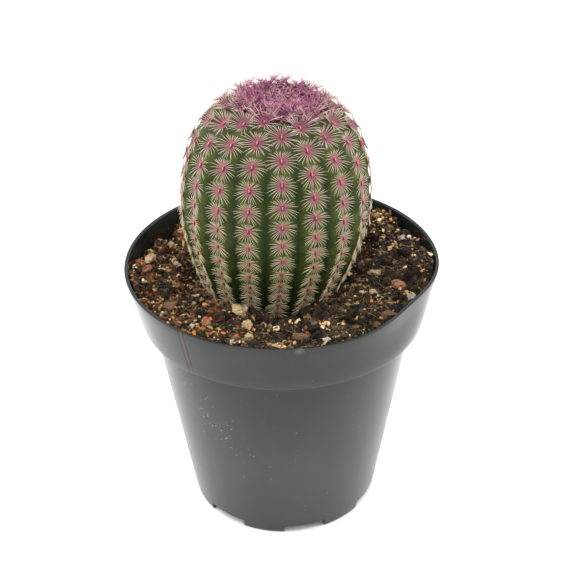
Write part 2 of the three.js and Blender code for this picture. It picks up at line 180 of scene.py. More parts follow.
def ring_quads(rings, around, wrap=True):
    """Quads between neighbouring rings of points laid out ring by ring."""
    i = np.arange(rings - 1)[:, None]
    j = np.arange(around if wrap else around - 1)[None, :]
    k = (j + 1) % around
    quads = np.stack([i * around + j, i * around + k, (i + 1) * around + k, (i + 1) * around + j], axis=-1)
    return quads.reshape(-1, 4)


def fan(ring, tip):
    """Triangles from a closed ring of points to a tip."""
    return np.stack([ring, np.roll(ring, -1), np.full(len(ring), tip)], axis=-1)


def to_world(points):
    """Points from the plant's own frame to the shared frame."""
    matrix = np.array(PLANT)
    return np.asarray(points) @ matrix[:3, :3].T + matrix[:3, 3]


def compass(angle, radius, z):
    """Points by angle from the front towards the right, radius and height."""
    angle, radius, z = np.broadcast_arrays(angle, radius, z)
    return np.stack([radius * np.sin(angle), -radius * np.cos(angle), z], axis=-1)


def circle(count):
    """Evenly spaced angles all round."""
    return np.arange(count) * math.tau / count


def eased(share):
    """A share held between 0 and 1, with a soft start and end."""
    share = np.clip(share, 0, 1)
    return share * share * (3 - 2 * share)


def unit(v):
    return v / np.maximum(np.linalg.norm(v, axis=-1, keepdims=True), 1e-12)


# Materials


def node(tree, kind, inputs=None, **settings):
    made = tree.nodes.new(kind)
    for key, value in settings.items():
        setattr(made, key, value)
    for key, value in (inputs or {}).items():
        if isinstance(value, bpy.types.NodeSocket):
            tree.links.new(value, made.inputs[key])
        else:
            made.inputs[key].default_value = value
    return made


def plug(socket, value):
    """Gives a node's input a constant, or another node's output."""
    if isinstance(value, bpy.types.NodeSocket):
        socket.id_data.links.new(value, socket)
    elif isinstance(value, tuple):
        socket.default_value = (*value, 1)
    else:
        socket.default_value = value


def math_node(operation, a, b=0.0):
    return node(a.id_data, "ShaderNodeMath", {0: a, 1: b}, operation=operation).outputs[0]


def plus(a, b):
    return math_node("ADD", a, b)


def minus(a, b):
    return math_node("SUBTRACT", a, b)


def apart(a, b):
    return math_node("ABSOLUTE", minus(a, b))


def product(*factors):
    made = factors[0]
    for factor in factors[1:]:
        made = math_node("MULTIPLY", made, factor)
    return made


def scaled(color, factor):
    inputs = {0: color, "Scale": factor}
    return node(color.id_data, "ShaderNodeVectorMath", inputs, operation="SCALE").outputs["Vector"]


def stretched(place, scale):
    return node(place.id_data, "ShaderNodeMapping", {"Vector": place, "Scale": scale}).outputs["Vector"]


def attribute(tree, name):
    return node(tree, "ShaderNodeAttribute", attribute_name=name).outputs["Fac"]


def ramp(factor, stops):
    """A colour by the factor, from stops that each hold a place, red, green and blue."""
    made = node(factor.id_data, "ShaderNodeValToRGB", {"Fac": factor})
    band = made.color_ramp
    for stop in stops[2:]:
        band.elements.new(stop[0])
    for element, (place, *color) in zip(band.elements, stops):
        element.position = place
        element.color = (*color, 1)
    return made.outputs["Color"]


def mix(factor, a, b):
    made = node(factor.id_data, "ShaderNodeMix", data_type="RGBA")
    for index, value in ((0, factor), (6, a), (7, b)):
        plug(made.inputs[index], value)
    return made.outputs[2]


def layered(color, *layers):
    """A colour under layers, each an amount and the colour that it brings."""
    for amount, over in layers:
        color = mix(amount, color, over)
    return color


def grain(place, scale, detail=3.0, roughness=0.55):
    inputs = {"Vector": place, "Scale": scale, "Detail": detail, "Roughness": roughness}
    return node(place.id_data, "ShaderNodeTexNoise", inputs).outputs["Fac"]


def cells(place, scale):
    return node(place.id_data, "ShaderNodeTexVoronoi", {"Vector": place, "Scale": scale}).outputs["Distance"]


def span(value, low, high, out_low=0.0, out_high=1.0):
    inputs = {"Value": value, "From Min": low, "From Max": high, "To Min": out_low, "To Max": out_high}
    return node(value.id_data, "ShaderNodeMapRange", inputs, clamp=True).outputs["Result"]


def fade(value, near, far):
    """1 up to near, falling to 0 at far."""
    return span(value, near, far, 1.0, 0.0)


def new_material(name):
    material = bpy.data.materials.new(name)
    material.use_nodes = True
    tree = material.node_tree
    shader = tree.nodes["Principled BSDF"]
    place = node(tree, "ShaderNodeTexCoord").outputs["Object"]
    return material, tree, shader, place


def coat(shader, color, roughness, specular=0.5):
    plug(shader.inputs["Base Color"], color)
    plug(shader.inputs["Roughness"], roughness)
    plug(shader.inputs["Specular IOR Level"], specular)


def bump(shader, height, distance, strength=1.0):
    inputs = {"Height": height, "Distance": distance, "Strength": strength}
    plug(shader.inputs["Normal"], node(shader.id_data, "ShaderNodeBump", inputs).outputs["Normal"])


def pot_material():
    """Satin black plastic with haze, a trail of dust on the front's left, and mould lines on the collar."""
    material, tree, shader, place = new_material("pot_plastic")
    x, y, z = node(tree, "ShaderNodeSeparateXYZ", {"Vector": place}).outputs
    angle = math_node("ARCTAN2", x, product(y, -1.0))
    on_collar = span(z, COLLAR_BOTTOM_Z - 0.0005, COLLAR_BOTTOM_Z + 0.0005)
    broad = grain(place, 45.0, 4.0)
    streaks = grain(stretched(place, (1.0, 1.0, 0.12)), 300.0)
    warm = product(on_collar, span(grain(place, 70.0), 0.5, 0.72), 0.5)
    dirt = pot_dust(place, angle, z)
    side = product(fade(angle, -1.3, 0.0), span(angle, -3.0, -2.0))
    film = product(span(streaks, 0.45, 0.75), side, span(z, 0.02, 0.075, 1.0, 0.15), 0.4)
    off_seam = apart(angle, SEAM_ANGLE)
    line = product(fade(apart(off_seam, SEAM_HALF_GAP), 0.0, 0.006), on_collar)
    smear = product(fade(off_seam, 0.01, 0.045), on_collar, span(streaks, 0.35, 0.6))
    color = layered(
        mix(span(broad, 0.42, 0.72), (0.0075, 0.009, 0.009), (0.015, 0.0165, 0.0155)),
        (warm, (0.024, 0.019, 0.013)),
        (dirt, (0.2, 0.17, 0.11)),
        (film, (0.06, 0.058, 0.048)),
        (product(smear, 0.6), (0.045, 0.026, 0.015)),
        (product(line, 0.9), (0.002, 0.002, 0.002)),
        # a pale streaked mark at the front of the rim
        (product(pale_rim_mark(place), 0.3, streaks), (0.4, 0.4, 0.38)),
    )
    rough = plus(span(broad, 0.3, 0.7, 0.17, 0.25), product(dirt, 0.4))
    shine = product(span(z, 0.03, COLLAR_BOTTOM_Z + 0.001, 0.5, 0.31), span(line, 0.0, 1.0, 1.0, 0.2))
    coat(shader, color, rough, shine)
    bump(shader, plus(product(grain(place, 900.0, 2.0), 0.25), product(line, -0.15)), 0.00012, 0.6)
    return material


def pale_rim_mark(place):
    """1 at a pale mark on the front of the rim, fading to 0 round it."""
    inputs = {0: place, 1: (0.005, -0.0522, 0.0916)}
    away = node(place.id_data, "ShaderNodeVectorMath", inputs, operation="DISTANCE").outputs["Value"]
    return fade(away, 0.0004, 0.002)


def pot_dust(place, angle, z):
    """Specks strewn over the wall, thick along a trail that falls from the left towards the front."""
    trail = minus(z, product(plus(angle, 0.2), -0.042))
    in_front = product(fade(angle, -0.3, 0.1), span(angle, -1.3, -0.9))
    near_trail = product(fade(apart(trail, 0.034), 0.002, 0.018), in_front)
    amount = plus(product(near_trail, 0.22), product(grain(place, 70.0, 2.0), 0.2))
    picked = plus(grain(place, 420.0, 1.0), amount)
    specks = product(fade(cells(place, 900.0), 0.16, 0.3), span(picked, 0.8, 0.9))
    big_specks = product(fade(cells(place, 330.0), 0.07, 0.13), span(picked, 0.79, 0.85))
    below_rim = fade(z, POT_HEIGHT - 0.004, POT_HEIGHT - 0.001)
    return product(math_node("MAXIMUM", specks, big_specks), below_rim)


def soil_material():
    """Peat with painted shade in the gaps between clods, pale flecks, and rusty on the left."""
    material, tree, shader, place = new_material("peat_bed")
    clumps = grain(place, 260.0, 6.0, 0.75)
    color = mix(span(clumps, 0.38, 0.68), (0.008, 0.006, 0.004), (0.06, 0.041, 0.023))
    x = node(tree, "ShaderNodeSeparateXYZ", {"Vector": place}).outputs[0]
    rusty = product(fade(x, -0.03, -0.008), span(grain(place, 130.0), 0.46, 0.62), span(clumps, 0.35, 0.6))
    color = mix(rusty, color, (0.19, 0.075, 0.028))
    flecks = product(fade(cells(place, 800.0), 0.12, 0.3), span(grain(place, 340.0, 1.0), 0.57, 0.64))
    color = mix(flecks, color, (0.3, 0.2, 0.09))
    # painted shade: the light attribute darkens the peat in the gaps between clods
    coat(shader, scaled(color, span(attribute(tree, "light"), 0.1, 0.75, 0.25, 1.2)), 0.92, 0.2)
    bump(shader, grain(place, 1400.0, 4.0, 0.7), 0.0004, 0.9)
    return material


def stem_material():
    """Green skin with painted shade in the grooves, darker by the soil, mottled, with pores, and reddish
    under the tuft.
    """
    material, tree, shader, place = new_material("stem_skin")
    groove = attribute(tree, "groove")
    height = attribute(tree, "height")
    patches = grain(place, 230.0, 5.0, 0.65)
    green = layered(
        mix(span(patches, 0.36, 0.64), (0.023, 0.038, 0.0055), (0.072, 0.084, 0.0165)),
        # painted shade: darker deep in the grooves between the ribs
        (span(groove, 0.2, 0.85, 0.0, 0.9), (0.009, 0.021, 0.003)),
        (span(groove, 0.88, 1.0, 0.0, 0.35), (0.022, 0.042, 0.008)),
        (product(fade(cells(place, 1900.0), 0.08, 0.22), 0.3), (0.12, 0.16, 0.07)),
        (span(height, 0.046, 0.057, 0.0, 0.5), (0.06, 0.062, 0.024)),
        (span(height, 0.0, 0.016, 0.7, 0.0), (0.012, 0.018, 0.006)),
        (span(height, 0.058, 0.062, 0.0, 0.9), (0.05, 0.016, 0.028)),
    )
    coat(shader, green, span(patches, 0.3, 0.7, 0.5, 0.65), 0.13)
    bump(shader, grain(place, 1500.0), 0.00012, 0.6)
    return material


PAD_U = 0.7  # the share of the strip's width that spines take; the pads take the rest
LOW_TONES = [
    (0.0, 0.26, 0.11, 0.08), (0.18, 0.43, 0.3, 0.18), (0.5, 0.6, 0.53, 0.3), (1.0, 0.71, 0.65, 0.4),
]
MIDDLE_TONES = [
    (0.0, 0.24, 0.05, 0.09), (0.25, 0.37, 0.16, 0.19), (0.52, 0.53, 0.41, 0.32),
    (1.0, 0.68, 0.62, 0.44),
]
HIGH_TONES = [
    (0.0, 0.15, 0.022, 0.055), (0.3, 0.32, 0.12, 0.17), (0.58, 0.54, 0.4, 0.33),
    (1.0, 0.74, 0.65, 0.52),
]
CROWN_TONES = [
    (0.0, 0.035, 0.003, 0.015), (0.35, 0.15, 0.022, 0.075), (0.7, 0.37, 0.09, 0.2),
    (1.0, 0.7, 0.36, 0.47),
]
PAD_TONES = [
    (0.0, 0.62, 0.38, 0.28), (0.26, 0.42, 0.13, 0.1), (0.5, 0.26, 0.034, 0.04),
    (0.85, 0.12, 0.009, 0.022), (1.0, 0.09, 0.01, 0.024),
]


def strip_axes(tree):
    """The strip's coordinates, and its two axes alone."""
    uv = node(tree, "ShaderNodeUVMap", uv_map=BAKE_UV).outputs["UV"]
    axes = node(tree, "ShaderNodeSeparateXYZ", {"Vector": uv}).outputs
    return uv, axes[0], axes[1]


def spine_material():
    """Colour by the strip alone: across it from low on the plant to the crown, and along it from base to tip.
    The right-hand part of the strip holds one cluster pad, seen from outside."""
    material, tree, shader, _ = new_material("spine_strip")
    _, u, v = strip_axes(tree)
    zone = math_node("DIVIDE", u, PAD_U)
    color = ramp(v, LOW_TONES)
    for tones, low, high in ((MIDDLE_TONES, 0.1, 0.35), (HIGH_TONES, 0.42, 0.7), (CROWN_TONES, 0.76, 0.9)):
        color = mix(span(zone, low, high), color, ramp(v, tones))
    color = mix(math_node("GREATER_THAN", u, PAD_U), color, pad_color(tree, u, v))
    coat(shader, color, 0.42, 0.4)
    return material


def pad_color(tree, u, v):
    """Dark red round the pad's edge and paler in the middle, with an orange tip at the top."""
    pad_x = span(u, PAD_U, 1.0, -1.0, 1.0)
    pad_y = span(v, 0.0, 1.0, -1.0, 1.0)
    reach = node(tree, "ShaderNodeCombineXYZ", {"X": product(pad_x, 2.0), "Y": pad_y}).outputs[0]
    reach = node(tree, "ShaderNodeVectorMath", {0: reach}, operation="LENGTH").outputs["Value"]
    tip = product(span(pad_y, 0.45, 0.8), fade(math_node("ABSOLUTE", pad_x), 0.3, 0.9))
    return mix(tip, ramp(reach, PAD_TONES), (0.5, 0.21, 0.045))


def grit_material(name, stops, roughness=0.85):
    """Colour by each grain's own patch of the strip, with painted shade where the grain lies in a gap and a
    random mottle.
    """
    material, tree, shader, _ = new_material(name)
    # the strip's second axis is painted light: low where a grain lies in a gap between clods
    uv, tone, light = strip_axes(tree)
    painted_shade_and_mottle = span(plus(light, grain(uv, 26.0, 4.0, 0.7)), 0.5, 1.4, 0.2, 1.3)
    coat(shader, scaled(ramp(tone, stops), painted_shade_and_mottle), roughness, 0.3)
    return material


PEAT_TONES = [
    (0.0, 0.005, 0.004, 0.003), (0.6, 0.016, 0.012, 0.008), (0.85, 0.055, 0.036, 0.018),
    (1.0, 0.14, 0.095, 0.045),
]
BARK_TONES = [
    (0.0, 0.018, 0.012, 0.007), (0.4, 0.075, 0.045, 0.018), (0.75, 0.25, 0.155, 0.055),
    (1.0, 0.5, 0.37, 0.18),
]
PUMICE_TONES = [
    (0.0, 0.24, 0.11, 0.028), (0.35, 0.44, 0.25, 0.085), (0.75, 0.56, 0.41, 0.2),
    (1.0, 0.68, 0.58, 0.4),
]
PERLITE_TONES = [(0.0, 0.34, 0.28, 0.2), (1.0, 0.58, 0.53, 0.44)]
LAVA_TONES = [
    (0.0, 0.08, 0.018, 0.007), (0.4, 0.26, 0.06, 0.018), (0.8, 0.44, 0.15, 0.04),
    (1.0, 0.55, 0.28, 0.09),
]


def stone_material(name, dark, light, speck):
    material, _, shader, place = new_material(name)
    body = grain(place, 420.0, 6.0, 0.75)
    specks = product(span(cells(place, 1680.0), 0.1, 0.3, 0.8, 0.0), body)
    color = mix(specks, mix(span(body, 0.36, 0.58), dark, light), speck)
    coat(shader, color, span(body, 0.3, 0.7, 0.7, 0.95), 0.3)
    bump(shader, grain(place, 2100.0, 4.0, 0.7), 0.0003, 0.8)
    return material


def bark_material(name, dark, light):
    material, _, shader, place = new_material(name)
    fibres = grain(stretched(place, (1.0, 4.0, 6.0)), 260.0, 6.0, 0.65)
    coat(shader, mix(span(fibres, 0.32, 0.7), dark, light), 0.88)
    bump(shader, fibres, 0.0005, 0.9)
    return material


def floor_material():
    material, _, shader, place = new_material("studio_floor")
    tone = span(grain(place, 3.0, 2.0), 0.3, 0.7)
    coat(shader, mix(tone, (0.93, 0.93, 0.925), (0.95, 0.95, 0.945)), 0.7)
    return material


# Pot


def wall_outer(z):
    return BASE_RADIUS + (WALL_TOP_RADIUS - BASE_RADIUS) * z / COLLAR_BOTTOM_Z


def collar_outer(z):
    slope = (RIM_RADIUS - COLLAR_BOTTOM_RADIUS) / (POT_HEIGHT - COLLAR_BOTTOM_Z)
    return COLLAR_BOTTOM_RADIUS + slope * (z - COLLAR_BOTTOM_Z)


def dent(angle, z):
    """How far the collar is pressed in: deepest at the rim, and fading out towards the step under it."""
    turn = (angle - DENT_ANGLE + math.pi) % math.tau - math.pi
    share = (z - COLLAR_BOTTOM_Z) / (POT_HEIGHT - COLLAR_BOTTOM_Z)
    return DENT_DEPTH * np.exp(-((turn / DENT_WIDTH) ** 2)) * eased(share)


def rounded(points, radius, steps=4):
    """An open outline with its inner corners rounded to about the given radius."""
    out = [points[0]]
    for before, corner, after in zip(points, points[1:], points[2:]):
        before, corner, after = (np.array(p) for p in (before, corner, after))
        back, ahead = before - corner, after - corner
        reach = min(radius, 0.45 * np.linalg.norm(back), 0.45 * np.linalg.norm(ahead))
        a = corner + unit(back) * reach
        b = corner + unit(ahead) * reach
        for t in np.linspace(0, 1, steps + 1):
            out.append(tuple((1 - t) ** 2 * a + 2 * t * (1 - t) * corner + t**2 * b))
    out.append(points[-1])
    return out


def split_long(points, longest):
    out = [points[0]]
    for a, b in zip(points, points[1:]):
        a, b = np.array(a), np.array(b)
        count = max(1, math.ceil(np.linalg.norm(b - a) / longest))
        out += [tuple(a + (b - a) * i / count) for i in range(1, count + 1)]
    return out


def pot_outline():
    """The outline from the wall's foot up over the rim and down inside to the floor's edge."""
    ledge_top = COLLAR_BOTTOM_Z + POT_WALL
    corners = [
        (wall_outer(FOOT_HEIGHT), FOOT_HEIGHT),
        (WALL_TOP_RADIUS, COLLAR_BOTTOM_Z),
        (COLLAR_BOTTOM_RADIUS, COLLAR_BOTTOM_Z),
        (RIM_RADIUS, POT_HEIGHT),
        (RIM_RADIUS - POT_WALL, POT_HEIGHT),
        (COLLAR_BOTTOM_RADIUS - POT_WALL, ledge_top),
        (wall_outer(ledge_top) - POT_WALL, ledge_top),
        (wall_outer(FLOOR_TOP) - POT_WALL, FLOOR_TOP),
        (BASE_RADIUS - 5 * MM, FLOOR_TOP),
    ]
    return np.array(split_long(rounded(corners, 0.45 * MM), 4 * MM))


def pot_wall(outline):
    """The turned wall, ring by ring, with the dent pressed into its collar."""
    radii, heights = outline[:, :1], outline[:, 1:]
    radii = radii - dent(POT_ANGLES[None, :], heights)
    return compass(POT_ANGLES[None, :], radii, heights).reshape(-1, 3)


def foot_columns():
    """Which of the columns of faces round the pot stand over a foot."""
    middle = (np.arange(POT_AROUND) + 0.5) * math.tau / POT_AROUND - FOOT_PITCH / 2
    from_foot = np.abs((middle + FOOT_PITCH / 2) % FOOT_PITCH - FOOT_PITCH / 2)
    return from_foot < FOOT_ARC / 2


def pot_foot(columns, skirt_start, start):
    """One foot, hung from the wall's and the skirt's rings, whose new points count from start."""
    levels = [0.4 * FOOT_HEIGHT, 0.12 * FOOT_HEIGHT, 0.0]
    insets = [0.0, 0.04 * MM, 0.3 * MM]
    index = np.arange(len(columns))
    verts, faces = [], []
    rings = [(columns, skirt_start + columns)]
    for level, inset in zip(levels, insets):
        turned = POT_ANGLES[columns]
        turned[[0, -1]] += [inset / BASE_RADIUS, -inset / BASE_RADIUS]
        verts.append(compass(turned, wall_outer(level) - inset, level))
        verts.append(compass(turned, SKIRT_INNER + inset, level))
        rings.append((start + index, start + len(index) + index))
        start += 2 * len(index)
    for (o0, i0), (o1, i1) in zip(rings, rings[1:]):
        faces.append(np.stack([o0[:-1], o0[1:], o1[1:], o1[:-1]], axis=-1)[:, ::-1])
        faces.append(np.stack([i0[:-1], i0[1:], i1[1:], i1[:-1]], axis=-1))
        faces.append(np.array([[o0[0], i0[0], i1[0], o1[0]], [i0[-1], o0[-1], o1[-1], i1[-1]]])[:, ::-1])
    faces.append(np.stack([o1[:-1], o1[1:], i1[1:], i1[:-1]], axis=-1))
    return verts, faces


def drain_holes():
    holes = [compass(circle(24), CENTRE_DRAIN_RADIUS, 0.0)]
    for i in range(FOOT_COUNT):
        centre = compass(FIRST_FOOT_ANGLE + FOOT_PITCH * (i + 0.5), DRAIN_RING_RADIUS, 0.0)
        holes.append(centre + compass(circle(24), DRAIN_RADIUS, 0.0))
    return holes


def pot_floor(verts, top_edge, bottom_edge):
    """Two sheets with holes inside the given edges, joined by the holes' walls.
    Returns the points with its own added, and its faces."""
    holes = drain_holes()
    count = sum(len(hole) for hole in holes)
    place = len(verts)
    triangles = []
    for z, edge, facing_up in ((FLOOR_TOP, top_edge, True), (FLOOR_BOTTOM, bottom_edge, False)):
        loops = [verts[edge]] + [hole + [0, 0, z] for hole in holes]
        index = np.concatenate([edge, np.arange(len(verts), len(verts) + count)])
        verts = np.vstack([verts, *loops[1:]])
        for triangle in tessellate_polygon([[Vector(p) for p in loop] for loop in loops]):
            a, b, c = (verts[index[t]] for t in triangle)
            is_up = np.cross(b - a, c - a)[2] > 0
            ordered = triangle if is_up == facing_up else triangle[::-1]
            triangles.append([index[t] for t in ordered])
    faces = [np.array(triangles)]
    for hole in holes:
        a = place + np.arange(len(hole))
        b = np.roll(a, -1)
        faces.append(np.stack([a, b, b + count, a + count], axis=-1))
        place += len(hole)
    return verts, faces


def build_pot(material):
    """The shell: wall, flat skirt under it, feet that hang from the skirt, and a floor with drain holes."""
    outline = pot_outline()
    verts = pot_wall(outline)
    skirt_start = len(verts)
    floor_edge_start = skirt_start + POT_AROUND
    skirt = compass(POT_ANGLES, SKIRT_INNER, FOOT_HEIGHT)
    floor_edge = compass(POT_ANGLES, SKIRT_INNER - 0.2 * MM, FLOOR_BOTTOM)
    verts = np.vstack([verts, skirt, floor_edge])
    j = np.arange(POT_AROUND)
    k = (j + 1) % POT_AROUND
    is_foot = foot_columns()
    under = np.stack([j, k, skirt_start + k, skirt_start + j], axis=-1)
    inside = np.stack([skirt_start + j, skirt_start + k, floor_edge_start + k, floor_edge_start + j], axis=-1)
    faces = [ring_quads(len(outline), POT_AROUND)[:, ::-1], under[~is_foot], inside]
    for start in np.flatnonzero(is_foot & ~np.roll(is_foot, 1)):
        columns = (start + np.arange(is_foot.sum() // FOOT_COUNT + 1)) % POT_AROUND
        foot_verts, foot_faces = pot_foot(columns, skirt_start, len(verts))
        verts = np.vstack([verts, *foot_verts])
        faces += foot_faces
    top_edge = (len(outline) - 1) * POT_AROUND + j
    verts, floor_faces = pot_floor(verts, top_edge, floor_edge_start + j)
    pot = make_piece("pot_shell", verts, faces + floor_faces, material)
    pot.data.set_sharp_from_angle(angle=math.radians(32))
    return link(pot, "pot", "pot")


# Stem


def crest_radius(height):
    height = np.asarray(height, dtype=float)
    up = np.clip((height - WIDEST_HEIGHT) / CROWN_HEIGHT, 0, 1)
    down = np.clip((WIDEST_HEIGHT - height) / FOOT_REACH, 0, 1)
    crown = (1 - up**CROWN_POWER) ** (1 / CROWN_POWER)
    foot = (1 - down**FOOT_POWER) ** (1 / FOOT_POWER)
    return WIDEST_RADIUS * np.where(height >= WIDEST_HEIGHT, crown, foot)


def rib_twist(height):
    return RIB_FIRST_ANGLE - RIB_TWIST * np.clip((height - TWIST_START) / (TWIST_END - TWIST_START), 0, 1)


# the outline of the ribs' crests as a fine table, from the crown down
STEM_TOP = WIDEST_HEIGHT + CROWN_HEIGHT
_share = np.linspace(0, 1, 20001)
_heights = STEM_TOP - (STEM_TOP + STEM_BURIED) * _share**1.6
_radii = crest_radius(_heights)
_arcs = np.concatenate([[0], np.cumsum(np.hypot(np.diff(_heights), np.diff(_radii)))])
_heights = _heights - APEX_DIP * np.clip(1 - (_arcs / APEX_REACH) ** 2, 0, 1) ** 2


def at_arc(arc):
    """The height and crest radius at an arc down from the crown."""
    return np.interp(arc, _arcs, _heights), np.interp(arc, _arcs, _radii)


def cluster_place(arc):
    """How many cluster steps an arc lies below the first cluster: the inverse of cluster_arc."""
    root = CLUSTER_STEP**2 - 4 * CLUSTER_STEP_LOSS * (arc - CLUSTER_FIRST_ARC)
    return (CLUSTER_STEP - np.sqrt(np.maximum(root, 0))) / (2 * CLUSTER_STEP_LOSS)


def cluster_arc(place):
    return CLUSTER_FIRST_ARC + CLUSTER_STEP * place - CLUSTER_STEP_LOSS * place**2


def stem_surface(angle, arc):
    """Points of the ribbed skin, and how deep in a groove each lies. angle is from the first rib's crest."""
    height, radius = at_arc(arc)
    rib_place = angle / RIB_PITCH
    from_crest = np.abs(rib_place - np.round(rib_place)) * 2
    groove = from_crest**1.7 * (1 - 0.12 * from_crest**6)
    depth = np.minimum(RIB_DEPTH, radius * RIB_DEPTH_SHARE)
    phase = cluster_place(arc) + np.round(rib_place) * CLUSTER_PHASE
    notch = 0.5 - 0.5 * np.cos(math.tau * phase)
    off_crown = np.clip((radius - 4 * MM) / (10 * MM), 0, 1)
    pinch = NOTCH_DEPTH * notch * (1 - from_crest) ** 0.7 * off_crown
    radius = radius - depth * groove - pinch
    return compass(angle + rib_twist(height), radius, height), np.broadcast_to(groove, radius.shape)


def build_stem(material):
    around = RIB_COUNT * 20
    rings = 150
    angles = np.arange(around + 1) * math.tau / around
    arcs = np.linspace(0.4 * MM, _arcs[-1], rings)
    points, groove = stem_surface(angles[None, :], arcs[:, None])
    sole_height = -STEM_BURIED - STEM_SOLE
    rim = points[-1]
    sole = rim * [0.72, 0.72, 0] + [0, 0, sole_height]
    apex = np.array([[0, 0, STEM_TOP - APEX_DIP]])
    base = np.array([[0, 0, sole_height]])
    grid = np.vstack([points.reshape(-1, 3), sole, apex, base])
    quads = ring_quads(rings + 1, around + 1, wrap=False)
    j = np.arange(around)
    last = rings * (around + 1)
    cap = np.stack([np.full(around, len(grid) - 2), j + 1, j], axis=-1)
    foot = np.stack([last + j, last + j + 1, np.full(around, len(grid) - 1)], axis=-1)
    u = np.concatenate([np.tile(angles / math.tau, rings + 1), [0.5, 0.5]])
    v = np.concatenate([np.repeat(np.linspace(0.99, 0.02, rings + 1), around + 1), [1.0, 0.0]])
    uv = np.stack([u, v], axis=-1)
    stem = make_piece("cactus_body", to_world(grid), [quads, cap[:, ::-1], foot[:, ::-1]], material, uv)
    set_attribute(stem, "groove", np.concatenate([groove.ravel(), groove[-1], [0, 0]]))
    set_attribute(stem, "height", grid[:, 2])
    weld(stem)
    return link(stem, "stem", "cactus_stem")


def weld(piece):
    """Joins points that lie together, such as a seam's two sides, keeping the UV seam."""
    mesh = bmesh.new()
    mesh.from_mesh(piece.data)
    bmesh.ops.remove_doubles(mesh, verts=mesh.verts, dist=1e-7)
    bmesh.ops.recalc_face_normals(mesh, faces=mesh.faces)
    mesh.to_mesh(piece.data)
    mesh.free()


# Spines


def spine_tubes(base, along, bend, length, thickness, outward, zone, sides=5, rings=6):
    """Tapered curved needles: points, polygons and strip coordinates. Arrays hold one row per spine."""
    count = len(base)
    t = np.linspace(0, 1, rings)[None, :, None]
    path = base[:, None] + length[:, None, None] * (along[:, None] * t + bend[:, None] * t**2)
    tangent = unit(along[:, None] + 2 * bend[:, None] * t)
    side = unit(np.cross(tangent, outward[:, None]))
    lift = np.cross(side, tangent)
    taper = (1 - t[..., 0]) ** 0.62 * (1 + 0.35 * np.exp(-((t[..., 0] / 0.08) ** 2)))
    taper = np.maximum(taper, 0.06)
    radius = (thickness[:, None] / 2 * taper)[..., None, None]
    turn = circle(sides)
    edge = np.cos(turn)[:, None] * side[:, :, None] + np.sin(turn)[:, None] * lift[:, :, None]
    points = path[:, :, None] + radius * edge
    per = rings * sides
    quads = ring_quads(rings, sides)
    offset = (np.arange(count) * per)[:, None, None]
    quads = (quads[None] + offset).reshape(-1, 4)
    ends = np.stack([np.arange(sides), (rings - 1) * sides + np.arange(sides)[::-1]])
    caps = (ends[None] + offset).reshape(-1, sides)[:, ::-1]
    across = zone[:, None, None] + 0.012 * np.cos(turn)[None, None, :]
    u = np.broadcast_to(across * PAD_U, (count, rings, sides))
    v = np.broadcast_to(np.clip(t, 0.004, 0.996), (count, rings, sides))
    uv = np.stack([np.clip(u, 0.002, PAD_U - 0.004), v], axis=-1)
    return points.reshape(-1, 3), [quads[:, ::-1], caps], uv.reshape(-1, 2)


def pad_dome(centre, right, down, outward, half_width, half_height, rise):
    """One cluster's low woolly cushion, a dome of rings with a wavy edge."""
    around = 14
    shares = np.array([1.0, 0.86, 0.62, 0.32])
    lifts = np.array([-0.35, 0.45, 0.85, 1.0])
    turn = circle(around)
    wavy = 1 + 0.07 * np.sin(5 * turn + centre[0] * 9000)
    x = shares[:, None] * np.sin(turn) * wavy
    y = shares[:, None] * np.cos(turn) * wavy
    points = (
        centre
        + half_width * x[..., None] * right
        - half_height * y[..., None] * down
        + (rise * lifts)[:, None, None] * outward
    )
    top = (centre + rise * 1.05 * outward)[None]
    verts = np.vstack([points.reshape(-1, 3), top])
    quads = ring_quads(len(shares), around)
    j = np.arange(around)
    last = (len(shares) - 1) * around
    cap = fan(last + j, len(verts) - 1)
    u = PAD_U + (1 - PAD_U) * (0.5 + 0.49 * x.ravel() / 1.08)
    v = 0.5 + 0.49 * y.ravel() / 1.08
    uv = np.stack([np.append(u, PAD_U + (1 - PAD_U) / 2), np.append(v, 0.5)], axis=-1)
    return verts, [quads[:, ::-1], cap[:, ::-1], j[None, :]], uv


class Builder:
    """Gathers many small shapes into one piece."""

    def __init__(self):
        self.verts, self.faces, self.uv, self.count = [], {}, [], 0

    def add(self, verts, polygons, uv):
        for p in polygons:
            self.faces.setdefault(p.shape[1], []).append(p + self.count)
        self.verts.append(verts)
        self.uv.append(uv)
        self.count += len(verts)

    def piece(self, name, material, on_plant=True):
        """Smooth and leaning with the plant, or else faceted and in the shared frame."""
        verts = np.vstack(self.verts)
        if on_plant:
            verts = to_world(verts)
        faces = [np.vstack(group) for group in self.faces.values()]
        return make_piece(name, verts, faces, material, np.vstack(self.uv), on_plant)


def crest_frame(rib, arc):
    """A rib crest's point, and the directions across the rib, down it and out of it."""
    step = 0.2 * MM
    points = []
    for a in (arc - step, arc, arc + step):
        height, radius = at_arc(a)
        points.append(compass(rib * RIB_PITCH + rib_twist(height), radius, height))
    down = unit(points[2] - points[0])
    angle = rib * RIB_PITCH + rib_twist(at_arc(arc)[0])
    right = np.array([math.cos(angle), math.sin(angle), 0.0])
    right = unit(right - down * (right @ down))
    return points[1], right, down, np.cross(down, right)


def round_pad(turns, right, down):
    """Directions in the skin's plane, by the angle from straight up towards the right."""
    return np.sin(turns)[:, None] * right - np.cos(turns)[:, None] * down


def spine_length(turn):
    """Length by direction round the pad, from straight up (0) to straight down (pi)."""
    stops = np.radians([0, 18, 40, 62, 85, 115, 140, 165, 180])
    lengths = np.array([1.6, 1.9, 2.8, 3.9, 4.7, 4.9, 4.6, 4.1, 3.6]) * MM
    return np.interp(turn, stops, lengths)


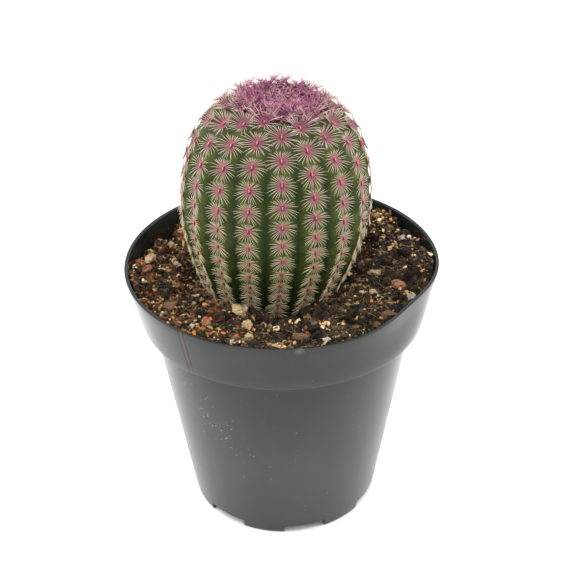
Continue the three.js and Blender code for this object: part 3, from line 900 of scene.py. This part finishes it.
def add_cluster(builder, rib, arc):
    """One spine cluster: a pad with a comb of spines down each side."""
    centre, right, down, outward = crest_frame(rib, arc)
    low = np.clip((arc - 36 * MM) / (30 * MM), 0, 1)
    young = np.clip((29 * MM - arc) / (14 * MM), 0, 1)
    size = 1 - 0.2 * low
    half_height = (1.35 - 0.2 * low) * MM * size
    half_width = (0.74 - 0.08 * low - 0.08 * young) * MM * size
    builder.add(*pad_dome(centre, right, down, outward, half_width, half_height, 0.55 * MM))
    per_side = 13 + int(round(3 * young))
    turns = np.radians(np.linspace(10, 164, per_side))
    turns = np.concatenate([turns, -turns, [math.pi]])
    turns = turns + random.normal(0, 0.035, len(turns))
    count = len(turns)
    upright = 0.5 + 0.5 * np.cos(turns)
    flat = round_pad(turns, right, down)
    edge = round_pad(turns, half_width * right, half_height * down)
    base = centre + 0.92 * edge + 0.05 * MM * outward
    tilt = np.radians(20 + random.normal(0, 3.5, count) + young * (12 + 32 * upright))[:, None]
    along = np.cos(tilt) * flat + np.sin(tilt) * outward - (0.12 + 0.1 * low) * down
    droop = (0.17 + 0.15 * low) * np.abs(np.sin(turns))[:, None]
    bend = droop * down - 0.2 * outward + random.normal(0, 0.02, (count, 3))
    bend = bend * (1 - 0.6 * young) + young * random.normal(0, 0.075, (count, 3))
    length = spine_length(np.abs(turns)) * size * random.uniform(0.86, 1.1, count)
    length = length * (1 + young * (0.32 + 0.55 * upright))
    thickness = (0.23 - 0.01 * low + 0.03 * young) * MM * random.uniform(0.85, 1.12, count)
    zone = np.interp(arc, np.array([8, 16, 26, 42, 60, 76]) * MM, [0.86, 0.64, 0.5, 0.36, 0.2, 0.06])
    zones = np.clip(zone + 0.22 * young * upright + random.normal(0, 0.035, count), 0.02, 0.98)
    builder.add(*spine_tubes(base, along, bend, length, thickness, np.tile(outward, (count, 1)), zones))


def row_arcs(rib):
    """Arcs of a rib's clusters, from the crown down to the soil."""
    for index in range(-1, CLUSTER_MOST):
        arc = cluster_arc(index - (rib * CLUSTER_PHASE) % 1)
        height, radius = at_arc(arc)
        x, y, z = to_world(compass(rib * RIB_PITCH + rib_twist(height), radius, height))
        if z - soil_height(x, y) < ROW_LOWEST:
            return
        yield arc


def build_rows(material):
    for rib in range(RIB_COUNT):
        builder = Builder()
        for arc in row_arcs(rib):
            if arc >= ROW_START_ARC:
                add_cluster(builder, rib, arc)
        number = f"{rib + 1:02d}"
        link(builder.piece(f"spines_{number}", material), "spines", f"spine_row_{number}")


def tuft_spots():
    """Growing points over the crown, on jittered rings."""
    for ring in range(TUFT_RINGS):
        arc = (0.5 + TUFT_RING_STEP * ring) * MM
        count = 3 + 6 * ring
        for index in range(count):
            rib = (index + random.uniform(-0.3, 0.3)) / count * RIB_COUNT
            yield rib, max(arc + random.uniform(-0.7, 0.7) * MM, 0.4 * MM)


def build_tuft(material):
    """The crown's young spines: crowded, crossing, and shorter and flatter in the middle."""
    builder = Builder()
    for rib, arc in tuft_spots():
        centre, right, down, outward = crest_frame(rib, arc)
        builder.add(*pad_dome(centre, right, down, outward, 0.5 * MM, 0.7 * MM, 0.4 * MM))
        rim = np.clip(arc / (13 * MM), 0, 1)
        count = 15 - int(8 * rim)
        turns = random.uniform(0, math.tau, count)
        flat = round_pad(turns, right, down)
        tilt = np.radians(random.uniform(8, 62 - 8 * rim, count))[:, None]
        along = unit(np.cos(tilt) * flat + np.sin(tilt) * outward + 0.2 * rim * down)
        bend = random.normal(0, 0.24, (count, 3)) - 0.2 * outward
        base = centre + flat * 0.4 * MM + 0.1 * MM * outward
        length = random.uniform(1.4, 2.5, count) * (1 + 0.5 * rim) * MM
        thickness = random.uniform(0.24, 0.44, count) * MM
        pale = random.uniform(0, 1, count) < 0.14 + 0.2 * rim
        zones = np.where(pale, random.uniform(0.7, 0.82, count), random.uniform(0.86, 0.985, count))
        builder.add(*spine_tubes(base, along, bend, length, thickness, np.tile(outward, (count, 1)), zones))
    link(builder.piece("crown_spines", material), "young_spines", "crown_tuft")


# Soil


def heap_rise(angle):
    """The soil's rise against the wall in a direction, eased between the listed ones."""
    place = np.degrees(angle) / 30 % len(HEAP_RISES)
    low = np.floor(place).astype(int)
    share = eased(place - low)
    rises = np.append(HEAP_RISES, HEAP_RISES[:2])
    return rises[low] * (1 - share) + rises[low + 1] * share


def heaped_level(x, y):
    """The soil's level without its clods: heaped against the wall and hollowed at the front of the stem."""
    share = (np.hypot(x, y) - HEAP_START) / (collar_outer(SOIL_LEVEL) - POT_WALL - HEAP_START)
    rolls = SOIL_ROLL * np.sin(x / MM / 7 + 1.3) * np.cos(y / MM / 9)
    dx, dy = x - STEM_PLACE[0], y - STEM_PLACE[1]
    from_stem = np.hypot(dx, dy)
    facing = (0.5 + 0.5 * np.cos(np.arctan2(dx, -dy) - MOAT_DIRECTION)) ** 2
    moat = MOAT_DEPTH * facing * eased((MOAT_EDGE - from_stem) / MOAT_WIDTH)
    return SOIL_LEVEL + rolls + heap_rise(np.arctan2(x, -y)) * eased(share) - moat


def noise_field(x, y, scale, shift=0.0):
    """Smooth noise over the grid; scale is in waves per millimetre."""
    places = zip(x.flat, y.flat)
    values = [noise.noise(Vector((a * scale / MM + shift, b * scale / MM, shift))) for a, b in places]
    return np.array(values).reshape(x.shape)


def crowd(x, y, spots, gap):
    """Domes that crowd each other, with gaps between them: the highest dome wins."""
    field = np.full(x.shape, -gap)
    for cx, cy, half, shape, turn, height in spots:
        reach = half + 1.5 * MM
        first = np.clip(((np.array([cx, cy]) - reach + SOIL_HALF) / SOIL_CELL).astype(int), 0, len(x))
        last = np.clip(((np.array([cx, cy]) + reach + SOIL_HALF) / SOIL_CELL).astype(int) + 1, 0, len(x))
        window = slice(first[0], last[0]), slice(first[1], last[1])
        dx, dy = x[window] - cx, y[window] - cy
        along = (dx * math.cos(turn) + dy * math.sin(turn)) / half
        across = (dy * math.cos(turn) - dx * math.sin(turn)) / (half * shape)
        dome = height - (height + gap) * (along**2 + across**2) ** 1.4
        field[window] = np.maximum(field[window], dome)
    return field


def random_domes(count, halves, heights):
    """Places, half widths, shapes, turns and heights of random domes. Sizes in millimetres."""
    for _ in range(count):
        angle, radius = random.uniform(0, math.tau), 52 * MM * math.sqrt(random.uniform(0.12, 1))
        half, height = random.uniform(*halves) * MM, random.uniform(*heights) * MM
        turn, shape = random.uniform(0, math.pi), random.uniform(0.6, 1)
        yield radius * math.sin(angle), radius * math.cos(angle), half, shape, turn, height


def chip_seats():
    """Each named stone's place on the soil: its centre, its half width and the soil's level at it."""
    seats = []
    for part in frame["record"]["subparts"]:
        if part["material_slot"] in ("pumice", "perlite", "lava", "bark"):
            low, high = (np.array(corner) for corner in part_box(part["node"]))
            x, y = (low + high)[:2] / 2
            seats.append((x, y, max(high[:2] - low[:2]) / 2, low[2] + CHIP_SUNK * (high[2] - low[2])))
    return seats


def soil_field():
    """The soil's height on a square grid: heaped, with two sizes of clods, and seats for the stones."""
    ticks = np.arange(-SOIL_HALF, SOIL_HALF, SOIL_CELL)
    x, y = np.meshgrid(ticks, ticks, indexing="ij")
    warp_x = x + 1.1 * MM * noise_field(x, y, 0.45, 3.0)
    warp_y = y + 1.1 * MM * noise_field(x, y, 0.45, 9.0)
    top = heaped_level(x, y) + 0.9 * MM * noise_field(x, y, 0.14)
    top += crowd(warp_x, warp_y, random_domes(60, (2.8, 7.5), (0.4, 3.1)), 1.2 * MM)
    top += crowd(warp_x, warp_y, random_domes(800, (0.9, 2.3), (0.1, 1.2)), 0.8 * MM)
    top += 0.45 * MM * noise_field(x, y, 1.3) + 0.3 * MM * noise_field(x, y, 2.9) - 0.7 * MM
    for cx, cy, width, height in BIG_CLODS:
        away = (warp_x - cx) ** 2 + (warp_y - cy) ** 2
        top += height * np.exp(-((away / width**2) ** 1.5))
    for cx, cy, width, seat in chip_seats():
        away = np.clip(np.hypot(x - cx, y - cy) / (width * 1.7), 0, 1)
        top += (seat - top) * (1 - away**2) ** 2
    return top


def blurred(field, reach):
    for axis in (0, 1):
        shifts = [np.roll(field, step, axis) for step in range(-reach, reach + 1)]
        field = sum(shifts) / len(shifts)
    return field


SOIL_TOP = soil_field()
# how far each point lies below its surroundings, which sets the painted shade in the soil's gaps
SOIL_HOLLOW = blurred(blurred(SOIL_TOP, 4), 4) - SOIL_TOP


def sample(field, x, y):
    """A grid's value at places between its points."""
    x, y = np.asarray(x), np.asarray(y)
    across, along = (x + SOIL_HALF) / SOIL_CELL, (y + SOIL_HALF) / SOIL_CELL
    i = np.clip(np.floor(across).astype(int), 0, len(field) - 2)
    j = np.clip(np.floor(along).astype(int), 0, len(field) - 2)
    s, t = across - i, along - j
    low = field[i, j] * (1 - t) + field[i, j + 1] * t
    high = field[i + 1, j] * (1 - t) + field[i + 1, j + 1] * t
    return low * (1 - s) + high * s


def soil_height(x, y):
    return sample(SOIL_TOP, x, y)


def soil_painted_light(x, y):
    """The painted light on the soil: 1 on the clods' tops and 0 in the gaps between them, where it puts
    painted shade.
    """
    return np.clip(0.55 - sample(SOIL_HOLLOW, x, y) / (1.5 * MM), 0, 1)


def build_soil(material):
    around, rings = 620, 130
    gap = POT_WALL + SOIL_GAP
    angles = circle(around)
    shares = np.linspace(1, 0.38, rings)[:, None]
    level = SOIL_LEVEL + heap_rise(angles)
    radius = (collar_outer(level) - gap - dent(angles, level)) * shares
    x, y = radius * np.sin(angles), -radius * np.cos(angles)
    z = np.minimum(soil_height(x, y), np.where(shares < 0.97, POT_HEIGHT + 3 * MM, POT_HEIGHT))
    top = np.stack([x, y, z], axis=-1).reshape(-1, 3)
    ledge = COLLAR_BOTTOM_Z + POT_WALL + SOIL_GAP
    bottom = FLOOR_TOP + SOIL_GAP
    side = [
        (wall_outer(bottom) - gap, bottom),
        (wall_outer(ledge) - gap, ledge),
        (collar_outer(ledge) - gap, ledge),
        (collar_outer(SOIL_LEVEL - 4 * MM) - gap, SOIL_LEVEL - 4 * MM),
    ]
    side = np.array(split_long(side, 5 * MM))
    wall_radius = side[:, :1] - dent(angles[None, :], side[:, 1:])
    wall = compass(angles[None, :], wall_radius, side[:, 1:]).reshape(-1, 3)
    verts = np.vstack([wall, top, [[0, 0, SOIL_LEVEL - 8 * MM], [0, 0, bottom]]])
    quads = ring_quads(len(side) + rings, around)
    last = (len(side) + rings - 1) * around
    inner = fan(last + np.arange(around), len(verts) - 2)
    under = fan(np.arange(around), len(verts) - 1)[:, [1, 0, 2]]
    soil = make_piece("soil_bed", verts, [quads, inner, under], material)
    # the light attribute is painted shade, darker in the gaps between clods
    light = np.concatenate([np.full(len(wall), 0.4), soil_painted_light(x, y).ravel(), [0, 0]])
    set_attribute(soil, "light", light)
    return link(soil, "soil", "soil")


def lump(subdivisions):
    """A unit ball's points and triangles."""
    mesh = bmesh.new()
    bmesh.ops.create_icosphere(mesh, subdivisions=subdivisions, radius=0.5)
    points = np.array([v.co[:] for v in mesh.verts])
    triangles = np.array([[v.index for v in face.verts] for face in mesh.faces])
    mesh.free()
    return points, triangles


def turns_about(axis, angles):
    """A rotation matrix for each angle, about the X (0), Y (1) or Z (2) axis."""
    made = np.tile(np.eye(3), (len(angles), 1, 1))
    a, b = (axis + 1) % 3, (axis + 2) % 3
    made[:, a, a] = made[:, b, b] = np.cos(angles)
    made[:, a, b] = -np.sin(angles)
    made[:, b, a] = np.sin(angles)
    return made


def random_turns(count):
    """Random rotations that keep each shape's Z axis near upright."""
    spin = random.uniform(0, math.tau, count)
    tip = random.normal(0, 0.45, count)
    roll = random.normal(0, 0.45, count)
    return turns_about(2, spin) @ turns_about(0, tip) @ turns_about(1, roll)


def soil_spots(count, margin, weight=None):
    """Places on the soil between the stem and the wall. weight gives a spot's chance of being kept."""
    tries = 4 * count
    kept = np.zeros((0, 3))
    while len(kept) < count:
        angle = random.uniform(0, math.tau, tries)
        level = SOIL_LEVEL + heap_rise(angle)
        edge = collar_outer(level) - POT_WALL - margin - dent(angle, level)
        radius = edge * np.sqrt(random.uniform(0.15, 1, tries))
        x, y = radius * np.sin(angle), -radius * np.cos(angle)
        z = soil_height(x, y)
        from_stem = np.hypot(x - STEM_PLACE[0], y - STEM_PLACE[1])
        keep = from_stem > crest_radius(z - SOIL_LEVEL) - 1.5 * MM
        if weight:
            keep &= random.uniform(0, 1, tries) < weight(x, y)
        kept = np.vstack([kept, np.stack([x, y, z], axis=-1)[keep]])
    return kept[:count]


def strip_spots(spots):
    """A place on the colour strip for each grain: a random tone, and painted light that is low where the
    grain lies in a gap.
    """
    tone = random.uniform(0.05, 0.95, len(spots))
    # painted shade: grains in the gaps between clods get darker
    light = soil_painted_light(spots[:, 0], spots[:, 1]) + random.normal(0, 0.14, len(spots))
    return np.stack([tone, np.clip(light, 0.05, 0.95)], axis=-1)


def add_grains(builder, count, sizes, shape, sink, ball=1, rough=0.2, margin=0.5, weight=None):
    """Angular lumps strewn on the soil. shape is their width and height over length. Sizes in millimetres."""
    spots = soil_spots(count, margin * MM, weight)
    low, high = sizes
    sizes = (low + (high - low) * random.uniform(0, 1, count) ** 2) * MM
    points, triangles = lump(ball)
    jitter = 1 + random.normal(0, rough, (count, len(points), 1))
    stretch = sizes[:, None] * [1, *shape] * random.uniform(0.75, 1.2, (count, 3))
    local = points[None] * jitter * stretch[:, None]
    turned = np.einsum("nab,npb->npa", random_turns(count), local)
    lift = (0.5 - sink) * stretch[:, 2:] * [0, 0, 1]
    verts = turned + (spots + lift)[:, None]
    faces = (triangles[None] + (np.arange(count) * len(points))[:, None, None]).reshape(-1, 3)
    # the strip place carries each grain's painted shade
    uv = np.clip(strip_spots(spots)[:, None] + points[None, :, :2] * 0.08, 0.005, 0.995)
    builder.add(verts.reshape(-1, 3), [faces], uv.reshape(-1, 2))


def add_fibres(builder, count, lengths, thicknesses, weight=None):
    """Thin curved strands that lie on the soil. Sizes in millimetres."""
    spots = soil_spots(count, 2.5 * MM, weight)
    lengths = random.uniform(*lengths, count) * MM
    thickness = random.uniform(*thicknesses, count) * MM
    spin = random.uniform(0, math.tau, count)
    along = np.stack([np.cos(spin), np.sin(spin), random.normal(0.08, 0.25, count)], axis=-1)
    bend = random.normal(0, 0.25, (count, 3)) * [1, 1, 0.5]
    base = spots - unit(along) * lengths[:, None] / 2 + [0, 0, 0.4 * MM]
    outward = np.tile([0.0, 0.0, 1.0], (count, 1))
    zone = np.zeros(count)
    tubes = spine_tubes(base, unit(along), bend, lengths, thickness, outward, zone, sides=4, rings=5)
    patch = np.stack(np.meshgrid(np.linspace(-0.03, 0.03, 4), np.linspace(-0.03, 0.03, 5)), -1).reshape(-1, 2)
    # the strip place carries each fibre's painted shade
    builder.add(*tubes[:2], np.repeat(strip_spots(spots), len(patch), axis=0) + np.tile(patch, (count, 1)))


def patchy(seed, floor=0.03, strength=3.5):
    """A weight that gathers grains into patches."""

    def weight(x, y):
        places = zip(x / MM, y / MM)
        waves = [noise.noise(Vector((a * 0.2 + seed * 37.0, b * 0.2 + seed * 11.0, 0.0))) for a, b in places]
        return floor + np.maximum(0, strength * (np.array(waves) - 0.06))

    return weight


def bright_patch(x, y):
    """Patches, with more on the left and at the back right."""
    left = 0.38 * np.clip((-14 * MM - x) / (12 * MM), 0, 1)
    back_right = 0.85 * np.clip((x + y - 36 * MM) / (12 * MM), 0, 1)
    return patchy(1, 0.1)(x, y) + left + back_right


def left_patch(x, y):
    return (patchy(5)(x, y) + 0.1) * np.where(x < -14 * MM, 1.0, 0.15)


def finish_litter(builder, name, slot, material):
    link(builder.piece(name, material, on_plant=False), slot)


def build_litter():
    """The loose top of the soil: peat crumbs, fibres and fine grit, one piece for each stuff."""
    crumbs = Builder()
    add_grains(crumbs, 60, (2.4, 6.0), (0.8, 0.6), 0.45, ball=3, rough=0.11, margin=3.5)
    add_grains(crumbs, 6400, (0.4, 2.1), (0.8, 0.65), 0.35, rough=0.26)
    finish_litter(crumbs, "peat_crumbs", "soil", grit_material("peat", PEAT_TONES, 0.95))

    bits = Builder()
    add_grains(bits, 1500, (0.5, 3.0), (0.5, 0.3), 0.15, rough=0.28, weight=bright_patch)
    add_fibres(bits, 2300, (1.2, 5.0), (0.08, 0.2), weight=patchy(2, 0.4, 2.0))
    finish_litter(bits, "bark_bits", "bark", grit_material("bark_fines", BARK_TONES))

    grit = Builder()
    add_grains(grit, 1400, (0.3, 1.9), (0.7, 0.5), 0.15, rough=0.3, weight=bright_patch)
    add_grains(grit, 60, (1.3, 3.2), (0.75, 0.6), 0.3, ball=2, rough=0.17, margin=2, weight=patchy(1))
    finish_litter(grit, "pumice_grit", "pumice", grit_material("pumice_fines", PUMICE_TONES))

    beads = Builder()
    add_grains(beads, 60, (0.4, 1.0), (0.9, 0.8), 0.15, weight=patchy(3))
    add_grains(beads, 8, (1.2, 2.0), (0.8, 0.7), 0.3, ball=2, rough=0.17, margin=2)
    finish_litter(beads, "perlite_grit", "perlite", grit_material("perlite_fines", PERLITE_TONES))

    cinders = Builder()
    add_grains(cinders, 950, (0.4, 2.3), (0.7, 0.5), 0.2, rough=0.28, weight=left_patch)
    finish_litter(cinders, "lava_grit", "lava", grit_material("lava_fines", LAVA_TONES))


# Stones


def build_chip(name, slot, material, seed):
    """A rough broken stone or chip that fills its CAD node's box."""
    low, high = (np.array(corner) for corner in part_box(name))
    points, triangles = lump(6)
    rng = np.random.default_rng(seed)
    shift = Vector(rng.uniform(-50, 50, 3))
    facets = unit(rng.normal(0, 1, (16, 3)))
    cuts = rng.uniform(0.26, 0.44, 16)
    for cut, facet in zip(cuts, facets):
        over = np.maximum(points @ facet - cut, 0)
        points = points - 0.9 * over[:, None] * facet
    directions = unit(points)
    for scale, height in ((3.5, 0.09), (9, 0.05), (22, 0.024)):
        swell = [noise.noise(Vector(p) * scale + shift) for p in points]
        points = points + height * np.array(swell)[:, None] * directions
    points = (points - points.min(0)) / (points.max(0) - points.min(0))
    verts = low + points * (high - low)
    return link(make_piece(name + "_stone", verts, [triangles], material), slot, name)


def build_chips():
    materials = {
        "pumice": stone_material("pumice_stone", (0.09, 0.06, 0.032), (0.46, 0.33, 0.18), (0.62, 0.52, 0.36)),
        "perlite": stone_material("perlite_stone", (0.12, 0.1, 0.07), (0.4, 0.36, 0.28), (0.52, 0.48, 0.4)),
        "lava": stone_material("lava_stone", (0.09, 0.03, 0.016), (0.28, 0.115, 0.06), (0.42, 0.24, 0.14)),
        "bark": bark_material("bark_chip", (0.03, 0.016, 0.009), (0.17, 0.085, 0.038)),
    }
    for index, part in enumerate(frame["record"]["subparts"]):
        slot = part["material_slot"]
        if slot in materials:
            build_chip(part["node"], slot, materials[slot], 100 + index)


# Studio


def build_studio():
    floor = make_piece(
        "studio_floor",
        [(-3, -3, 0), (3, -3, 0), (3, 3, 0), (-3, 3, 0)],
        [np.array([[0, 1, 2, 3]])],
        floor_material(),
    )
    bpy.context.scene.collection.objects.link(floor)
    scene = bpy.context.scene
    scene.view_settings.view_transform = "Standard"
    world = bpy.data.worlds.new("studio")
    scene.world = world
    world.use_nodes = True
    world.node_tree.nodes["Background"].inputs["Color"].default_value = (1, 1, 1, 1)
    world.node_tree.nodes["Background"].inputs["Strength"].default_value = 1.2
    for name, place, width, height, watts in (
        ("overhead", (0.0, -0.25, 0.95), 0.8, 0.6, 5.5),
        ("left_box", (-0.65, 0.05, 0.35), 0.5, 0.8, 4.0),
        ("right_box", (0.65, 0.05, 0.35), 0.5, 0.8, 4.0),
    ):
        light = bpy.data.objects.new(name, bpy.data.lights.new(name, "AREA"))
        light.data.shape = "RECTANGLE"
        light.data.energy = watts
        light.data.size = width
        light.data.size_y = height
        light.location = place
        light.rotation_euler = (Vector((0, 0, 0.08)) - light.location).to_track_quat("-Z", "Y").to_euler()
        scene.collection.objects.link(light)


def build_camera():
    """The view from the front, looking down on the crown."""
    elevation = 0.5706
    roll = 0.0128
    distance = 450 * MM
    shift_right, shift_up = 0.93 * MM, 10.17 * MM
    aim = Matrix.Translation((shift_right, 0, 70 * MM))
    tilt = Matrix.Rotation(math.pi / 2 - elevation, 4, "X")
    away = Matrix.Translation((0, shift_up, distance))
    camera = bpy.data.objects.new("camera", bpy.data.cameras.new("camera"))
    camera.data.sensor_width = 36
    camera.data.lens = 82.94
    camera.matrix_world = aim @ tilt @ away @ Matrix.Rotation(-roll, 4, "Z")
    bpy.context.scene.collection.objects.link(camera)
    bpy.context.scene.camera = camera


build_camera()
build_studio()
build_pot(pot_material())
build_soil(soil_material())
build_stem(stem_material())
strip = spine_material()
build_rows(strip)
build_tuft(strip)
build_litter()
build_chips()
frame["nodes"]["roots"].data.materials.clear()
frame["nodes"]["roots"].data.materials.append(bark_material("root_bark", (0.2, 0.12, 0.06), (0.5, 0.36, 0.2)))
